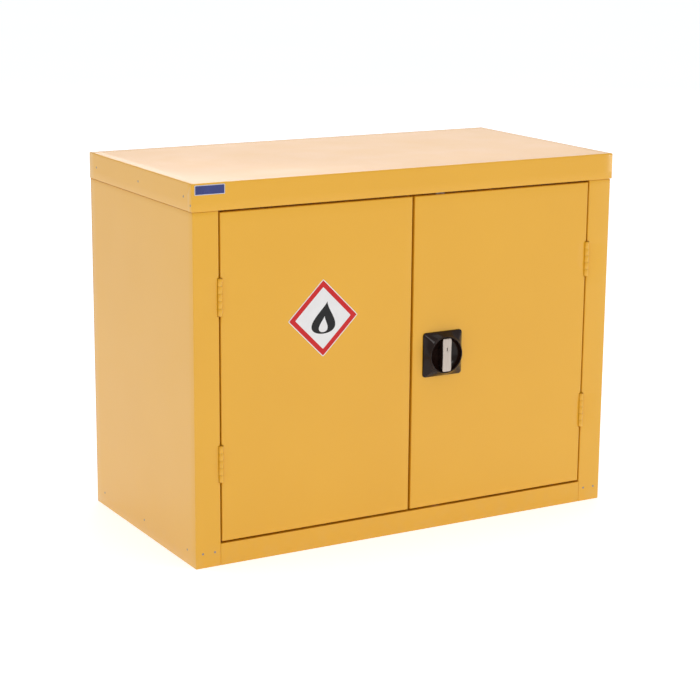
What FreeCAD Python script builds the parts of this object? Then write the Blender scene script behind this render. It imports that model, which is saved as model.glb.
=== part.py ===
"""Flammable storage cabinet: a low two-door steel cabinet with a swinghandle lock.

Frame: X to the right as seen from the front, Y from the front to the back, Z up, in millimetres.
The origin is on the floor, under the middle of the overall box with the lock's grip included.
"""
import FreeCAD, Part
import os
import re
import Sketcher

SIZES = {
    # overall box and sheet metal
    "width": 900, "depth": 460, "height": 700, "sheet": 1,
    # lid, stiles, bottom rail and header
    "lid_drop": 49.5, "lid_tab": 16, "lid_tab_slope": 18.5,
    "stile_width": 50, "stile_return": 22, "rebate_lip": 14,
    "rail_top": 41, "seam": 0.2, "foot_flange": 20, "header_drop": 20, "keeper_play": 2,
    # doors
    "side_gap": 3, "middle_gap": 5, "door_bottom": 45, "door_top": 646.5, "door_depth": 20, "door_lip": 12,
    "stiffener_width": 40, "stiffener_depth": 15, "stiffener_flange": 12, "stiffener_end": 25,
    "buffer_radius": 4.5, "buffer_depth": 1.8, "buffer_inset": 60,
    # hinges
    "hinge_height": 67, "barrel_radius": 4.5, "lower_hinge": 191, "upper_hinge": 496,
    "pin_radius": 2, "fit_clearance": 0.05, "knuckle_gap": 0.3, "hinge_notch": 5,
    # lock on the right door
    "lock_projection": 18, "lock_across": 67, "lock_up": 343.5,
    "escutcheon_side": 85.5, "escutcheon_edge": 2, "escutcheon_top": 62, "escutcheon_height": 14,
    "rim_radius": 35.5, "rim_height": 17, "bowl_radius": 33, "bowl_floor": 2, "screw_across": 30.75,
    "screw_radius": 2, "screw_head_radius": 4, "screw_head": 2.5, "screw_length": 8,
    "grip_width": 20.5, "grip_end_radius": 31.7, "grip_lift": 1.5, "grip_plate_depth": 2.5,
    "spindle_radius": 8, "barrel_offset": 11, "key_barrel_radius": 5.5, "key_barrel_depth": 13,
    "key_slot_width": 1.8, "key_slot_height": 7, "key_slot_depth": 8, "barrel_recess": 0.1,
    "lock_body_width": 50, "lock_body_height": 60, "lock_body_depth": 10,
    "cam_front": 11.5, "cam_depth": 3, "crank_offset": 8.485, "crank_pin_radius": 2, "cam_rim": 17,
    # lock rods
    "rod_front": 15.5, "rod_depth": 3, "rod_width": 19, "rod_reach": 2.5, "arm_inner": 4.5, "arm_outer": 16.5,
    "arm_start": 3.5, "arm_length": 40, "slot_play": 0.5, "slot_inner": 6, "slot_outer": 14.5,
    "guide_play": 0.4, "guide_wall": 2.1, "guide_height": 12, "guide_inset": 60,
    # inside the cabinet
    "sump_height": 50, "sump_gap": 3, "shelf_level": 360, "shelf_lip": 30, "shelf_side_gap": 14,
    "upright_width": 20, "upright_depth": 10, "upright_bottom": 95, "upright_top": 690,
    "front_upright": 80, "rear_upright": 395, "slot_pitch": 35, "slot_length": 14, "slot_width": 5,
    # trim
    "rivet_radius": 2.2, "rivet_head": 0.4, "base_rivet_up": 27, "lid_rivet_down": 26,
    "tab_rivet_back": 5, "tab_rivet_down": 38, "stile_rivet_outer": 14, "stile_rivet_inner": 38,
    "label_half": 72.5, "label_across": -189.4, "label_up": 437.7, "label_skin": 0.2,
    "badge_width": 58, "badge_height": 17.5, "badge_depth": 0.6, "badge_left": 6, "badge_down": 3,
}

doc = FreeCAD.newDocument("FlammableStorageCabinet")
sheet = doc.addObject("Spreadsheet::Sheet", "Sizes")
for row, (alias, value) in enumerate(SIZES.items(), start=1):
    sheet.set(f"A{row}", alias)
    sheet.set(f"B{row}", str(value))
    sheet.setAlias(f"B{row}", alias)
doc.recompute()

# Planes that most pieces are set out from, written in the sheet's names.
LID_FACE = "(lock_projection - depth) / 2"
BACK_FACE = "(lock_projection + depth) / 2"
FACE = f"({LID_FACE} + sheet)"
SIDE = "(width / 2 - 2 * sheet)"
OPENING = f"({SIDE} - stile_width)"
REBATE = f"({FACE} + stile_return)"
LID_EDGE = "(height - lid_drop)"
DOOR_EDGE = f"({OPENING} - side_gap)"
HINGE_AXIS = f"({OPENING} - side_gap / 2)"
HINGE_LEVELS = {"lower": "lower_hinge", "upper": "upper_hinge"}
SIDES = {"left": -1, "right": 1}
CORNERS = [(-1, -1), (-1, 1), (1, -1), (1, 1)]
KNUCKLES = 5
UPRIGHT_SLOTS = 15

# Rows of rivets: distances behind the lid's face, or above the floor on the back.
LID_RIVET_ROW = [35, 230, 427]
BASE_RIVET_ROW = [38, 230, 422]
BACK_RIVET_ROW = [40, 240, 440, 630]

parts = {}


def linked(words):
    """Turn an expression in the sheet's names into one that FreeCAD can bind."""
    return re.sub(r"[a-z_]+", lambda match: "Sizes." + match.group(), words)


def number(words):
    """Value of an expression in the sheet's names."""
    return float(sheet.evalExpression(linked(words)))


def bind(item, prop, words):
    item.setExpression(prop, linked(words))


def node(item, label):
    """Register an object as one sub-part, under the name of its file."""
    item.Label = label
    parts[label] = item
    return item


def box(name, x, y, z):
    """Box between a low and a high expression on each axis."""
    piece = doc.addObject("Part::Box", name)
    for size, axis, (low, high) in (("Length", "x", x), ("Width", "y", y), ("Height", "z", z)):
        bind(piece, size, f"({high}) - ({low})")
        bind(piece, f"Placement.Base.{axis}", low)
    return piece


def cylinder(name, axis, radius, span, at):
    """Cylinder along one axis between two expressions, with its centre line at the other two."""
    piece = doc.addObject("Part::Cylinder", name)
    turns = {"x": (FreeCAD.Vector(0, 1, 0), 90), "y": (FreeCAD.Vector(1, 0, 0), -90),
             "z": (FreeCAD.Vector(0, 0, 1), 0)}
    piece.Placement = FreeCAD.Placement(FreeCAD.Vector(), FreeCAD.Rotation(*turns[axis]))
    bind(piece, "Radius", radius)
    bind(piece, "Height", f"({span[1]}) - ({span[0]})")
    others = [letter for letter in "xyz" if letter != axis]
    bind(piece, f"Placement.Base.{axis}", span[0])
    for letter, words in zip(others, at):
        bind(piece, f"Placement.Base.{letter}", words)
    return piece


def fuse(name, pieces):
    joined = doc.addObject("Part::MultiFuse", name)
    joined.Shapes = pieces
    joined.Refine = True
    return joined


def cut(name, base, tools):
    """Base with every tool taken away."""
    tool = tools[0] if len(tools) == 1 else fuse(name + "Tools", tools)
    rest = doc.addObject("Part::Cut", name)
    rest.Base = base
    rest.Tool = tool
    rest.Refine = True
    return rest


def group(name, pieces):
    """Separate solids that share one node."""
    together = doc.addObject("Part::Compound", name)
    together.Links = pieces
    return together


def mirrored(side, low, high):
    """Span measured outwards from the middle plane, on the left (-1) or the right (1)."""
    return (low, high) if side > 0 else (f"-({high})", f"-({low})")


def around(centre, half):
    """Span of the given half width about a centre."""
    return (f"{centre} - {half}", f"{centre} + {half}")


def flat_sketch(body, name, role):
    """Empty sketch on one of a body's own origin planes."""
    plane = next(item for item in body.Origin.OriginFeatures if item.Role == role)
    sketch = body.newObject("Sketcher::SketchObject", name)
    sketch.AttachmentSupport = [(plane, "")]
    sketch.MapMode = "FlatFace"
    return sketch


def outline(body, name, points, role="XZ_Plane"):
    """Closed polygon on an origin plane, each corner held by two bound distances."""
    sketch = flat_sketch(body, name, role)
    corners = [FreeCAD.Vector(number(x), number(z), 0) for x, z in points]
    for start, end in zip(corners, corners[1:] + corners[:1]):
        sketch.addGeometry(Part.LineSegment(start, end), False)
    count = len(corners)
    for index in range(count):
        sketch.addConstraint(Sketcher.Constraint("Coincident", index, 2, (index + 1) % count, 1))
    for index, (corner, words) in enumerate(zip(corners, points)):
        for kind, value, expression in (("DistanceX", corner.x, words[0]), ("DistanceY", corner.y, words[1])):
            place = sketch.addConstraint(Sketcher.Constraint(kind, -1, 1, index, 1, value))
            sketch.setExpression(f"Constraints[{place}]", linked(expression))
    return sketch


def ring(body, name, radius, x, z):
    """Circle on a body's XZ plane, with its radius and centre bound."""
    sketch = flat_sketch(body, name, "XZ_Plane")
    centre = FreeCAD.Vector(number(x), number(z), 0)
    sketch.addGeometry(Part.Circle(centre, FreeCAD.Vector(0, 0, 1), number(radius)), False)
    size = sketch.addConstraint(Sketcher.Constraint("Radius", 0, number(radius)))
    sketch.setExpression(f"Constraints[{size}]", linked(radius))
    for kind, value, words in (("DistanceX", centre.x, x), ("DistanceY", centre.y, z)):
        place = sketch.addConstraint(Sketcher.Constraint(kind, -1, 1, 0, 3, value))
        sketch.setExpression(f"Constraints[{place}]", linked(words))
    return sketch


def pad(body, sketch, depth, backwards=True):
    """Solid from a sketch: from the XZ plane towards the cabinet's back, or along the plane's normal."""
    feature = body.newObject("PartDesign::Pad", sketch.Name + "Pad")
    feature.Profile = sketch
    feature.Reversed = backwards
    bind(feature, "Length", depth)
    sketch.Visibility = False
    return feature


def pocket(body, sketch):
    """Hole from a sketch on the XZ plane, through the whole body."""
    feature = body.newObject("PartDesign::Pocket", sketch.Name + "Pocket")
    feature.Profile = sketch
    feature.Type = "ThroughAll"
    feature.Midplane = True
    sketch.Visibility = False
    return feature


def placed_body(name, x, y, z):
    """Empty PartDesign body whose own origin lies at the given point."""
    body = doc.addObject("PartDesign::Body", name)
    for axis, words in (("x", x), ("y", y), ("z", z)):
        bind(body, f"Placement.Base.{axis}", words)
    return body


# --- Lid: a folded tray over the sides, its front flange wrapped round both corners ---
lid_half = "width / 2"
flange_half = "width / 2 - sheet"
lid_pieces = [
    box("LidPlate", (f"-({flange_half})", flange_half), (LID_FACE, BACK_FACE), ("height - sheet", "height")),
    box("LidFrontFlange", (f"-({lid_half})", lid_half), (LID_FACE, FACE), (LID_EDGE, "height - sheet")),
    box("LidBackFlange", (f"-({flange_half})", flange_half), (f"{BACK_FACE} - sheet", BACK_FACE),
        (LID_EDGE, "height - sheet")),
]
for side_name, side in SIDES.items():
    lid_pieces.append(box(f"LidSideFlange_{side_name}", mirrored(side, SIDE, flange_half),
                          (LID_FACE, BACK_FACE), (LID_EDGE, "height - sheet")))
    tab = placed_body(f"LidCornerTab_{side_name}", mirrored(side, flange_half, lid_half)[0],
                      LID_FACE, "height")
    tab_corners = [("0", "-sheet"), ("lid_tab", "-lid_tab_slope"), ("lid_tab", "-lid_drop"),
                   ("0", "-lid_drop")]
    pad(tab, outline(tab, f"TabOutline_{side_name}", tab_corners, "YZ_Plane"), "sheet", backwards=False)
    lid_pieces.append(tab)
node(fuse("TopPanel", lid_pieces), "top_panel")


# --- Side panels: one sheet folded into side, stile, return and rebate lip ---
for side_name, side in SIDES.items():
    inner_face = f"{SIDE} - sheet"
    folds = [
        box(f"SideSheet_{side_name}", mirrored(side, inner_face, SIDE), (FACE, f"{BACK_FACE} - 2 * sheet"),
            ("0", "height - sheet")),
        box(f"Stile_{side_name}", mirrored(side, OPENING, SIDE), (FACE, f"{FACE} + sheet"),
            ("0", "height - sheet")),
        box(f"StileReturn_{side_name}", mirrored(side, OPENING, f"{OPENING} + sheet"),
            (FACE, f"{REBATE} + sheet"), ("rail_top + sheet", "height - sheet")),
        box(f"RebateLip_{side_name}", mirrored(side, f"{OPENING} - rebate_lip", f"{OPENING} + sheet"),
            (REBATE, f"{REBATE} + sheet"), ("rail_top + sheet", LID_EDGE)),
        box(f"BackReturn_{side_name}", mirrored(side, f"{SIDE} - foot_flange", SIDE),
            (f"{BACK_FACE} - 3 * sheet", f"{BACK_FACE} - 2 * sheet"), ("0", "height - sheet")),
        box(f"FootReturn_{side_name}", mirrored(side, f"{SIDE} - foot_flange", SIDE),
            (REBATE, f"{BACK_FACE} - 3 * sheet"), ("0", "sheet")),
    ]
    notches = [
        box(f"StileNotch_{side_name}_{level}",
            mirrored(side, f"{HINGE_AXIS} - hinge_notch", f"{HINGE_AXIS} + hinge_notch"),
            (f"{FACE} - hinge_notch", f"{FACE} + hinge_notch"), around(height, "(hinge_height / 2 + sheet)"))
        for level, height in HINGE_LEVELS.items()
    ]
    folded = fuse(f"SideFolds_{side_name}", folds)
    node(cut(f"SidePanel_{side_name}", folded, notches), f"{side_name}_side_panel")


# --- Back panel: a flat sheet over the side panels' back returns ---
node(box("BackPanel", (f"-({SIDE})", SIDE), (f"{BACK_FACE} - 2 * sheet", f"{BACK_FACE} - sheet"),
         ("0", "height - sheet")), "back_panel")


# --- Base: an inverted tray whose front flange is the bottom rail, with a keeper slot for the lower rod ---
rail_half = f"({OPENING} - seam)"
side_inner = f"({SIDE} - sheet)"
base_back = f"({BACK_FACE} - 3 * sheet)"
base_pieces = [
    box("BottomRail", (f"-{rail_half}", rail_half), (FACE, f"{FACE} + sheet"), ("0", "rail_top")),
    box("BaseFrontDeck", (f"-{rail_half}", rail_half), (FACE, f"{REBATE} + 2 * sheet"),
        ("rail_top - sheet", "rail_top")),
    box("BaseDeck", (f"-{side_inner}", side_inner), (f"{REBATE} + sheet", base_back),
        ("rail_top - sheet", "rail_top")),
    box("BaseBackFlange", (f"-{side_inner}", side_inner), (f"{base_back} - sheet", base_back),
        ("sheet", "rail_top")),
    box("RailFoot", (f"-{rail_half}", rail_half), (FACE, f"{FACE} + foot_flange"), ("0", "sheet")),
]
for side_name, side in SIDES.items():
    base_pieces.append(box(f"BaseSideFlange_{side_name}", mirrored(side, f"{side_inner} - sheet", side_inner),
                           (f"{REBATE} + sheet", base_back), ("sheet", "rail_top")))
    base_pieces.append(box(f"RailJoggle_{side_name}",
                           mirrored(side, f"{rail_half} - sheet", f"{side_inner} - sheet"),
                           (f"{FACE} + sheet", f"{FACE} + 2 * sheet"), ("sheet", "rail_top")))
keeper_reach = "(rod_width / 2 + keeper_play)"
keeper_depth = (f"{FACE} + rod_front - keeper_play", f"{FACE} + rod_front + rod_depth + keeper_play")
base = fuse("BaseFolds", base_pieces)
base_keeper = box("BaseKeeperSlot", around("lock_across", keeper_reach), keeper_depth,
                  ("rail_top - 5 * sheet", "rail_top + sheet"))
node(cut("BaseTray", base, [base_keeper]), "base_tray")


# --- Header rail: a folded angle behind the lid's front flange, and the strip that stops the doors ---
header_foot = f"({LID_EDGE} + sheet / 2)"
header_web = box("HeaderWeb", (f"-{rail_half}", rail_half), (FACE, f"{FACE} + sheet"),
                 (header_foot, "height - sheet"))
header_deck = box("HeaderDeck", (f"-{rail_half}", rail_half), (FACE, f"{REBATE} + sheet"),
                  (header_foot, f"{header_foot} + sheet"))
header_keeper = box("HeaderKeeperSlot", around("lock_across", keeper_reach), keeper_depth,
                    (f"{header_foot} - sheet", f"{header_foot} + 2 * sheet"))
node(cut("HeaderRail", fuse("HeaderFolds", [header_web, header_deck]), [header_keeper]), "header_rail")
stop_half = f"({OPENING} - rebate_lip - sheet)"
node(box("DoorStopStrip", (f"-{stop_half}", stop_half), (REBATE, f"{REBATE} + sheet"),
         (f"{header_foot} - header_drop", header_foot)), "door_stop_strip")


# --- Sump tray on the base and shelf tray above it: folded trays, open at the top ---
def tray(name, half_width, y, z):
    """Open tray of one sheet's thickness, upturned on all four sides."""
    outer = box(name + "Outer", (f"-({half_width})", half_width), y, z)
    inner = box(name + "Inner", (f"-({half_width} - sheet)", f"{half_width} - sheet"),
                (f"{y[0]} + sheet", f"{y[1]} - sheet"), (f"{z[0]} + sheet", f"{z[1]} + sheet"))
    return cut(name, outer, [inner])


tray_front = f"({REBATE} + 6 * sheet)"
tray_back = f"({base_back} - 3 * sheet)"
tray_depth = (tray_front, tray_back)
node(tray("SumpTray", f"({side_inner} - sump_gap)", tray_depth, ("rail_top", "rail_top + sump_height")),
     "sump_tray")
node(tray("ShelfTray", f"({side_inner} - shelf_side_gap)", tray_depth,
          ("shelf_level", "shelf_level + shelf_lip")), "shelf_tray")


# --- Slotted uprights welded to the sides, and the clips that carry the shelf ---
upright_places = {"front": f"({FACE} + front_upright)", "rear": f"({FACE} + rear_upright)"}
for side_name, side in SIDES.items():
    web_face = f"({side_inner} - upright_depth)"
    for place, start in upright_places.items():
        tag = f"{side_name}_{place}"
        depth_span = (start, f"{start} + upright_width")
        full = box(f"UprightFull_{tag}", mirrored(side, web_face, side_inner), depth_span,
                   ("upright_bottom", "upright_top"))
        hollow = box(f"UprightHollow_{tag}", mirrored(side, f"{web_face} + sheet", f"{side_inner} + sheet"),
                     (f"{start} + sheet", f"{start} + upright_width - sheet"),
                     ("upright_bottom - sheet", "upright_top + sheet"))
        slots = []
        for index in range(1, UPRIGHT_SLOTS + 1):
            slot_foot = f"upright_bottom + {index} * slot_pitch"
            slots.append(box(f"UprightSlot_{tag}_{index}",
                             mirrored(side, f"{web_face} - sheet", f"{web_face} + 2 * sheet"),
                             around(f"{start} + upright_width / 2", "slot_width / 2"),
                             (slot_foot, f"{slot_foot} + slot_length")))
        node(cut(f"Upright_{tag}", full, [hollow] + slots), f"{tag}_upright")
        clip_middle = f"{start} + upright_width / 2"
        clip = [
            box(f"ClipBack_{tag}", mirrored(side, f"{web_face} - 2 * sheet", web_face),
                around(clip_middle, "slot_width"), ("shelf_level - 2 * slot_length", "shelf_level - sheet")),
            box(f"ClipArm_{tag}", mirrored(side, f"{web_face} - 2 * slot_length", web_face),
                around(clip_middle, "slot_width"), ("shelf_level - 2 * sheet", "shelf_level")),
        ]
        node(fuse(f"ShelfClip_{tag}", clip), f"{tag}_shelf_clip")


# --- Door pans: skin, four returns and a rear lip, notched round the hinge barrels ---
door_back = f"({FACE} + door_depth)"
door_inner_edge = "(middle_gap / 2)"
lock_axis = ("lock_across", "lock_up")
screw_places = [(f"(lock_across + {across} * screw_across)", f"(lock_up + {up} * screw_across)")
                for across, up in CORNERS]
rod_slot = around("lock_across", "(rod_width / 2 + sheet)")
rod_slot_depth = (f"{FACE} + rod_front - sheet", f"{door_back} - sheet")
for side_name, side in SIDES.items():
    outer = box(f"DoorOuter_{side_name}", mirrored(side, door_inner_edge, DOOR_EDGE), (FACE, door_back),
                ("door_bottom", "door_top"))
    tools = [
        box(f"DoorHollow_{side_name}", mirrored(side, f"{door_inner_edge} + sheet", f"{DOOR_EDGE} - sheet"),
            (f"{FACE} + sheet", f"{door_back} - sheet"), ("door_bottom + sheet", "door_top - sheet")),
        box(f"DoorMouth_{side_name}",
            mirrored(side, f"{door_inner_edge} + door_lip", f"{DOOR_EDGE} - door_lip"),
            (f"{door_back} - 2 * sheet", f"{door_back} + sheet"),
            ("door_bottom + door_lip", "door_top - door_lip")),
    ]
    for level, height in HINGE_LEVELS.items():
        tools.append(box(f"DoorNotch_{side_name}_{level}",
                         mirrored(side, f"{HINGE_AXIS} - hinge_notch", f"{HINGE_AXIS} + hinge_notch"),
                         (f"{FACE} - hinge_notch", f"{FACE} + hinge_notch"),
                         around(height, "(hinge_height / 2 + sheet)")))
    if side_name == "right":
        through_skin = around(FACE, "2 * sheet")
        tools.append(cylinder("DoorSpindleHole", "y", "spindle_radius + sheet", through_skin, lock_axis))
        for index, place in enumerate(screw_places):
            tools.append(cylinder(f"DoorScrewHole{index}", "y", "screw_radius + knuckle_gap",
                                  through_skin, place))
        tools.append(box("DoorTopRodSlot", rod_slot, rod_slot_depth, around("door_top", "2 * sheet")))
        tools.append(box("DoorBottomRodSlot", rod_slot, rod_slot_depth, around("door_bottom", "2 * sheet")))
    node(cut(f"DoorPanel_{side_name}", outer, tools), f"{side_name}_door_panel")

    # Hat-section stiffener spot-welded up the middle of the skin's inside.
    middle = f"({door_inner_edge} + {DOOR_EDGE}) / 2"
    skin = f"({FACE} + sheet)"
    rise = ("door_bottom + stiffener_end", "door_top - stiffener_end")
    near = f"{middle} - stiffener_width / 2"
    reach = f"{middle} + stiffener_width / 2"
    crown = box(f"StiffenerCrown_{side_name}", mirrored(side, near, reach),
                (skin, f"{skin} + stiffener_depth"), rise)
    hollow = box(f"StiffenerHollow_{side_name}",
                 mirrored(side, f"{near} + sheet", f"{reach} - sheet"),
                 (f"{skin} - sheet", f"{skin} + stiffener_depth - sheet"),
                 ("door_bottom", "door_top"))
    wing_spans = {"inner": (f"{near} - stiffener_flange", f"{near} + sheet"),
                  "outer": (f"{reach} - sheet", f"{reach} + stiffener_flange")}
    wings = [box(f"StiffenerWing_{side_name}_{wing}", mirrored(side, *span), (skin, f"{skin} + sheet"), rise)
             for wing, span in wing_spans.items()]
    crown_shell = cut(f"StiffenerShell_{side_name}", crown, [hollow])
    node(fuse(f"Stiffener_{side_name}", [crown_shell] + wings), f"{side_name}_door_stiffener")


# --- Hinges: knuckles of a frame leaf and a door leaf take turns on one pin ---
knuckle = "(hinge_height / 5)"
leaf_start = f"({FACE} + hinge_notch)"
leaf_end = f"({FACE} + door_depth - sheet)"
knuckle_root = f"({FACE} + barrel_radius - 1.5 * sheet)"
for side_name, side in SIDES.items():
    for level, height in HINGE_LEVELS.items():
        tag = f"{side_name}_{level}"
        foot = f"({height} - hinge_height / 2)"
        axis_x = HINGE_AXIS if side > 0 else f"-{HINGE_AXIS}"
        bore = cylinder(f"HingeBore_{tag}", "z", "pin_radius + fit_clearance",
                        (f"{foot} - sheet", f"{foot} + hinge_height + sheet"), (axis_x, FACE))
        leaves = {
            "frame": (range(0, KNUCKLES, 2), mirrored(side, f"{OPENING} - sheet", OPENING)),
            "door": (range(1, KNUCKLES, 2), mirrored(side, DOOR_EDGE, f"{DOOR_EDGE} + sheet")),
        }
        for owner, (turns, plate_span) in leaves.items():
            metal = [box(f"LeafPlate_{tag}_{owner}", plate_span, (leaf_start, leaf_end),
                         (foot, f"{foot} + hinge_height"))]
            for index in turns:
                knuckle_span = (f"{foot} + {index} * {knuckle} + knuckle_gap / 2",
                                f"{foot} + {index + 1} * {knuckle} - knuckle_gap / 2")
                metal.append(cylinder(f"Knuckle_{tag}_{owner}_{index}", "z", "barrel_radius", knuckle_span,
                                      (axis_x, FACE)))
                metal.append(box(f"KnuckleRoot_{tag}_{owner}_{index}", plate_span, (knuckle_root, leaf_start),
                                 knuckle_span))
            leaf = fuse(f"LeafMetal_{tag}_{owner}", metal)
            node(cut(f"HingeLeaf_{tag}_{owner}", leaf, [bore]), f"{tag}_hinge_{owner}_leaf")
        pin_span = (f"{foot} - sheet / 2", f"{foot} + hinge_height + sheet / 2")
        node(cylinder(f"HingePin_{tag}", "z", "pin_radius", pin_span, (axis_x, FACE)), f"{tag}_hinge_pin")


# --- Lock furniture on the right door: escutcheon, body, screws and rod guides ---
side_half = number("escutcheon_side") / 2
top_half = number("escutcheon_top") / 2
face_depth = number(FACE)


def square_wire(half, depth):
    """Square about the lock's axis, facing the front."""
    centre = FreeCAD.Vector(number("lock_across"), depth, number("lock_up"))
    signs = ((-1, -1), (1, -1), (1, 1), (-1, 1), (-1, -1))
    return Part.makePolygon([centre + FreeCAD.Vector(half * x, 0, half * z) for x, z in signs])


pyramid = doc.addObject("Part::Feature", "EscutcheonPyramid")
edge_depth = face_depth - number("escutcheon_edge")
pyramid.Shape = Part.makeLoft([square_wire(side_half, face_depth), square_wire(side_half, edge_depth),
                               square_wire(top_half, face_depth - number("escutcheon_height"))], True, True)
rim = cylinder("EscutcheonRim", "y", "rim_radius", (f"{FACE} - rim_height", FACE), lock_axis)
bowl = cylinder("EscutcheonBowl", "y", "bowl_radius",
                (f"{FACE} - rim_height - sheet", f"{FACE} - bowl_floor"), lock_axis)
spindle_bore = cylinder("EscutcheonSpindleBore", "y", "spindle_radius + fit_clearance",
                        around(FACE, "(rim_height)"), lock_axis)
screw_tip = f"{FACE} + sheet - screw_length"
screw_bores = [cylinder(f"EscutcheonScrewBore{index}", "y", "screw_radius + fit_clearance",
                        (screw_tip, f"{FACE} + sheet"), place)
               for index, place in enumerate(screw_places)]
escutcheon_blank = fuse("EscutcheonBlank", [pyramid, rim])
node(cut("Escutcheon", escutcheon_blank, [bowl, spindle_bore] + screw_bores), "lock_escutcheon")

screws = []
for index, place in enumerate(screw_places):
    shank = cylinder(f"ScrewShank{index}", "y", "screw_radius",
                     (f"{screw_tip} + sheet", f"{FACE} + 2 * sheet"), place)
    head = cylinder(f"ScrewHead{index}", "y", "screw_head_radius",
                    (f"{FACE} + sheet", f"{FACE} + sheet + screw_head"), place)
    screws.append(fuse(f"Screw{index}", [shank, head]))
node(group("EscutcheonScrews", screws), "escutcheon_screws")

lock_case = box("LockCase", around("lock_across", "lock_body_width / 2"),
                (f"{FACE} + sheet", f"{FACE} + sheet + lock_body_depth"),
                around("lock_up", "lock_body_height / 2"))
lock_case_bore = cylinder("LockCaseBore", "y", "spindle_radius + knuckle_gap",
                          (FACE, f"{FACE} + 2 * lock_body_depth"), lock_axis)
node(cut("LockBody", lock_case, [lock_case_bore]), "lock_body")

guide_places = {"upper": "(door_top - guide_inset)", "lower": "(door_bottom + guide_inset)"}
rod_back = f"{FACE} + rod_front + rod_depth"
for place, level in guide_places.items():
    loop = box(f"GuideLoop_{place}", around("lock_across", "(rod_width / 2 + guide_play + guide_wall)"),
               (f"{FACE} + sheet", f"{rod_back} + guide_play + sheet"), around(level, "guide_height / 2"))
    passage = box(f"GuidePassage_{place}", around("lock_across", "(rod_width / 2 + guide_play)"),
                  (f"{FACE} + rod_front - guide_play", f"{rod_back} + guide_play"),
                  around(level, "guide_height"))
    relief = box(f"GuideRelief_{place}", around("lock_across", "(rod_width / 2)"),
                 (FACE, f"{FACE} + rod_front - guide_play - sheet"), around(level, "guide_height"))
    node(cut(f"RodGuide_{place}", loop, [passage, relief]), f"{place}_rod_guide")


# --- Grip, its metal face, the spindle behind it, and the cam that drives the rods ---
grip_back = f"({FACE} - bowl_floor - grip_lift)"
grip_face = f"({LID_FACE} - lock_projection)"
plate_back = f"({grip_face} + grip_plate_depth)"
barrel_axis = ("lock_across", "lock_up + barrel_offset")


def grip_layer(name, depth):
    """Bar with round ends: a block trimmed by a cylinder about the lock's axis, bored for the key barrel."""
    block = box(name + "Block", around("lock_across", "grip_width / 2"), depth,
                around("lock_up", "bowl_radius"))
    ends = cylinder(name + "Ends", "y", "grip_end_radius", depth, lock_axis)
    bar = doc.addObject("Part::Common", name + "Bar")
    bar.Base = block
    bar.Tool = ends
    seat = cylinder(name + "Seat", "y", "key_barrel_radius + fit_clearance",
                    (f"{grip_face} - sheet", f"{grip_face} + key_barrel_depth + fit_clearance"), barrel_axis)
    return cut(name, bar, [seat])


node(grip_layer("GripCore", (plate_back, grip_back)), "lock_grip")
node(grip_layer("GripPlate", (grip_face, plate_back)), "lock_grip_plate")

key_slot = box("KeySlot", around("lock_across", "key_slot_width / 2"),
               (f"{grip_face} - sheet", f"{grip_face} + key_slot_depth"),
               around("lock_up + barrel_offset", "key_slot_height / 2"))
barrel_blank = cylinder("KeyBarrelBlank", "y", "key_barrel_radius",
                        (f"{grip_face} + barrel_recess", f"{grip_face} + key_barrel_depth"), barrel_axis)
node(cut("KeyBarrel", barrel_blank, [key_slot]), "key_barrel")

cam_face = f"({FACE} + cam_front)"
spindle_core = cylinder("SpindleCore", "y", "spindle_radius", (grip_back, cam_face), lock_axis)
spindle_thread = cylinder("SpindleThread", "y", "screw_radius + fit_clearance",
                          (f"{cam_face} - screw_length", f"{cam_face} + sheet"), lock_axis)
node(cut("Spindle", spindle_core, [spindle_thread]), "lock_spindle")

cam = placed_body("LockCam", "lock_across", f"{cam_face}", "lock_up")
pad(cam, ring(cam, "CamDisc", "cam_rim", "0", "0"), "cam_depth")
for index, sign in enumerate((1, -1)):
    pin_at = f"{sign} * crank_offset"
    crank_pin = ring(cam, f"CamPin{index}", "crank_pin_radius", pin_at, pin_at)
    pad(cam, crank_pin, "rod_front - cam_front + rod_depth")
pocket(cam, ring(cam, "CamBore", "screw_radius + fit_clearance", "0", "0"))
node(cam, "lock_cam")

cam_back = f"{cam_face} + cam_depth"
cam_screw_head = cylinder("CamScrewHead", "y", "screw_head_radius - slot_play / 2",
                          (cam_back, f"{cam_back} + screw_head"), lock_axis)
cam_screw_shank = cylinder("CamScrewShank", "y", "screw_radius",
                           (f"{cam_back} - screw_length", f"{cam_back} + sheet"), lock_axis)
node(fuse("CamScrew", [cam_screw_head, cam_screw_shank]), "cam_screw")


# --- Lock rods: flat bars with a side arm over the cam; the lower rod is the upper one turned half round ---
rod_tips = {"upper": (1, "(door_top - lock_up + rod_reach)"),
            "lower": (-1, "(lock_up - door_bottom + rod_reach)")}
for place, (sign, tip) in rod_tips.items():
    rod = placed_body(f"LockRod_{place}", "lock_across", f"{FACE} + rod_front", "lock_up")
    corners = [("arm_inner", "arm_start"), ("arm_outer", "arm_start"),
               ("arm_outer", "arm_length + rod_width / 2"), ("rod_width / 2", "arm_length + rod_width"),
               ("rod_width / 2", tip), ("-rod_width / 2", tip),
               ("-rod_width / 2", "arm_length"), ("arm_inner", "arm_length")]
    turned = [(f"{sign} * ({x})", f"{sign} * ({z})") for x, z in corners]
    pad(rod, outline(rod, f"RodOutline_{place}", turned), "rod_depth")
    slot_low = "crank_offset - crank_pin_radius - slot_play"
    slot_high = "crank_offset + crank_pin_radius + slot_play"
    slot_corners = [("slot_inner", slot_low), ("slot_outer", slot_low),
                    ("slot_outer", slot_high), ("slot_inner", slot_high)]
    turned_slot = [(f"{sign} * ({x})", f"{sign} * ({z})") for x, z in slot_corners]
    pocket(rod, outline(rod, f"RodSlot_{place}", turned_slot))
    node(rod, f"{place}_lock_rod")


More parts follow.
